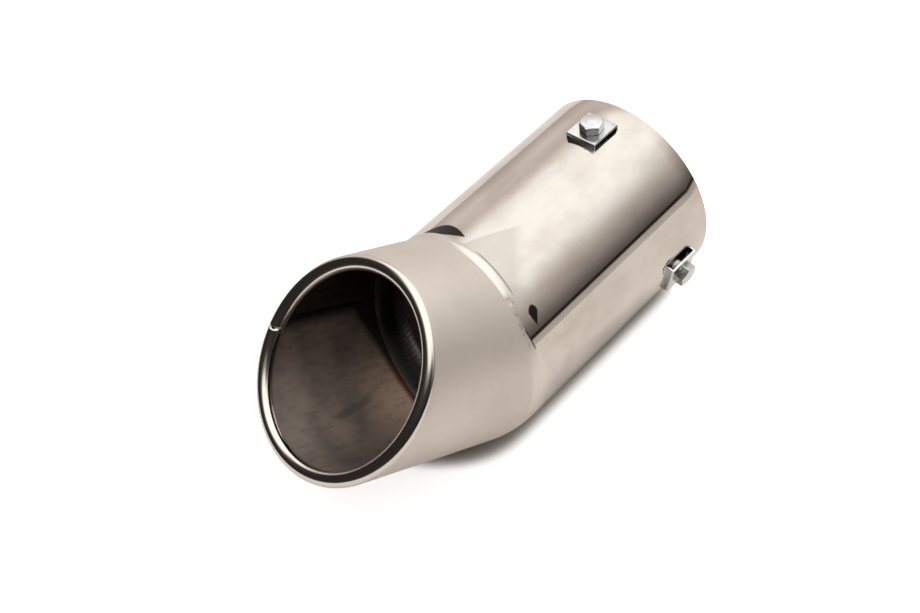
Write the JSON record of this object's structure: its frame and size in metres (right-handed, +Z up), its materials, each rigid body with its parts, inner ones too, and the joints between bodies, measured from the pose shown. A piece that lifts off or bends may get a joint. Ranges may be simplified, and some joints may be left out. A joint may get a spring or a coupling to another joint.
{
  "type": "exhaust tip",
  "caption": "Bent stainless exhaust tip with a slanted, rolled-in outlet lip; clamp bolts on pressed saddles grip the tailpipe that slides into its square-cut inlet.",
  "frame": {"origin": "centre of the inlet end, on the inlet sleeve's axis", "axes": "+Y out of the inlet along its axis, towards the car's tailpipe; +Z up as the tip lies at rest"},
  "size_m": [0.0924, 0.1725, 0.0863],
  "materials": {
    "outlet_steel": "satin outside, heat-tinted brown inside",
    "inlet_steel": "polished outside, heat-tinted brown inside",
    "weld_steel": "ground bright outside, as welded inside",
    "zinc_plate": "bright zinc plate"
  },
  "bodies": {
    "tip": {"inlet_sleeve": "inlet_steel", "outlet_sleeve": "outlet_steel", "mitre_weld": "weld_steel", "outlet_seam_weld": "weld_steel", "saddle_1": "zinc_plate", "saddle_2": "zinc_plate", "saddle_3": "zinc_plate"},
    "bolt_1": {"clamp_bolt_1": "zinc_plate"},
    "bolt_2": {"clamp_bolt_2": "zinc_plate"},
    "bolt_3": {"clamp_bolt_3": "zinc_plate"}
  },
  "joints": [
    {"name": "clamp_bolt_1_travel", "type": "slide", "parent": "tip", "child": "bolt_1", "axis": [-0.1392, 0, 0.9903], "range_m": [0, 0.012]},
    {"name": "clamp_bolt_2_travel", "type": "slide", "parent": "tip", "child": "bolt_2", "axis": [0.9914, 0, -0.1305], "range_m": [0, 0.012]},
    {"name": "clamp_bolt_3_travel", "type": "slide", "parent": "tip", "child": "bolt_3", "axis": [-0.5736, 0, -0.8192], "range_m": [0, 0.012]}
  ]
}
